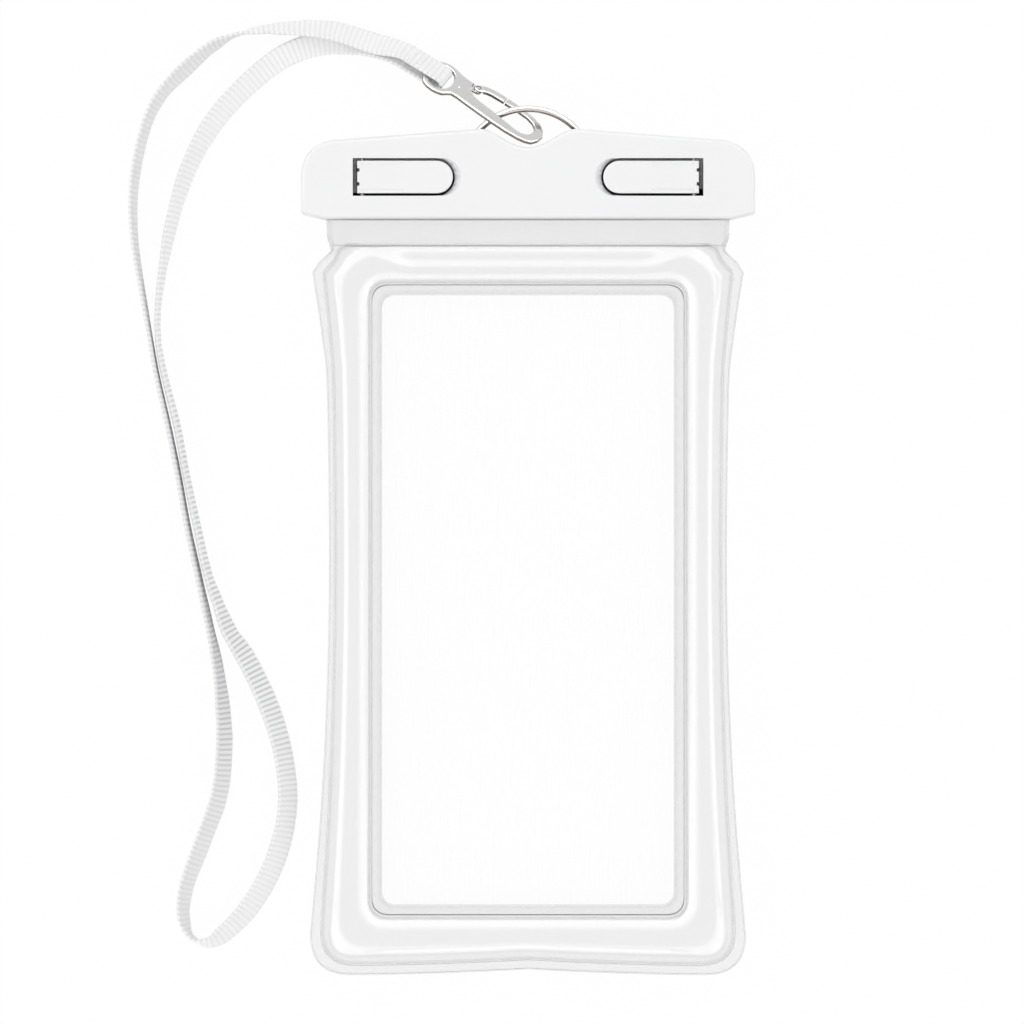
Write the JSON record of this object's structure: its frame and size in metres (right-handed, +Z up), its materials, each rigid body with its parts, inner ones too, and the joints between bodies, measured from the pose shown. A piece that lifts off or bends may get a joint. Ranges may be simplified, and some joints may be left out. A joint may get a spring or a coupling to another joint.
{
  "type": "waterproof phone pouch",
  "caption": "Clear flat pouch with an air-filled border, closed by a clip bar with flip levers, on a flat wrist strap with a snap hook.",
  "frame": {"origin": "on the surface it lies on, under the middle of the pouch, clip and bail, without the strap and its hook", "axes": "+X across the pouch, +Y from the pouch's bottom edge to the clip, +Z up out of the pouch's front"},
  "size_m": [0.1663, 0.254, 0.014],
  "materials": {
    "shell": "satin white moulded plastic with softly rounded edges",
    "strip": "plain off-white moulded strip",
    "gasket": "soft translucent grey seal",
    "film": "clear soft film, a little frosted at its welds",
    "pane": "clear smooth film pane",
    "cushion": "clear inflated film, glossy with soft highlights",
    "nickel": "bright nickel plate",
    "steel": "plain drawn pin",
    "ribbon": "white woven ribbon with crosswise ribs and stitched edges"
  },
  "bodies": {
    "pouch": {"rear_bar": "shell", "rear_clamp_strip": "strip", "mouth_gasket": "gasket", "rear_film": "film", "front_film": "film", "rear_window": "pane", "front_window": "pane", "rear_cushion": "cushion", "front_cushion": "cushion", "strap": "ribbon"},
    "clip_front": {"front_bar": "shell", "front_clamp_strip": "strip", "front_neck": "film", "lever_pin_left": "steel", "lever_pin_right": "steel"},
    "left_lever": {"lever_left": "shell"},
    "right_lever": {"lever_right": "shell"},
    "bail": {"strap_bail": "nickel", "snap_hook": "nickel", "gate_rivet": "nickel", "strap_fold": "ribbon"},
    "gate": {"hook_gate": "nickel"}
  },
  "joints": [
    {"name": "clip_open", "type": "slide", "parent": "pouch", "child": "clip_front", "axis": [0, 0, 1], "range_m": [0, 0.015]},
    {"name": "lever_left_flip", "type": "hinge", "parent": "clip_front", "child": "left_lever", "pos_m": [-0.0439, 0.09614, 0.0123], "axis": [0, -1, 0], "range_deg": [0, 95]},
    {"name": "lever_right_flip", "type": "hinge", "parent": "clip_front", "child": "right_lever", "pos_m": [0.0439, 0.09614, 0.0123], "axis": [0, 1, 0], "range_deg": [0, 95]},
    {"name": "bail_swing", "type": "hinge", "parent": "pouch", "child": "bail", "pos_m": [0, 0.10524, 0.0029], "axis": [1, 0, 0], "range_deg": [-95, 3]},
    {"name": "gate_open", "type": "hinge", "parent": "bail", "child": "gate", "pos_m": [-0.01334, 0.11987, 0.00445], "axis": [-0.2866, -0.6096, -0.7391], "range_deg": [0, 14], "stiffness_Nm_per_rad": 0.005}
  ]
}
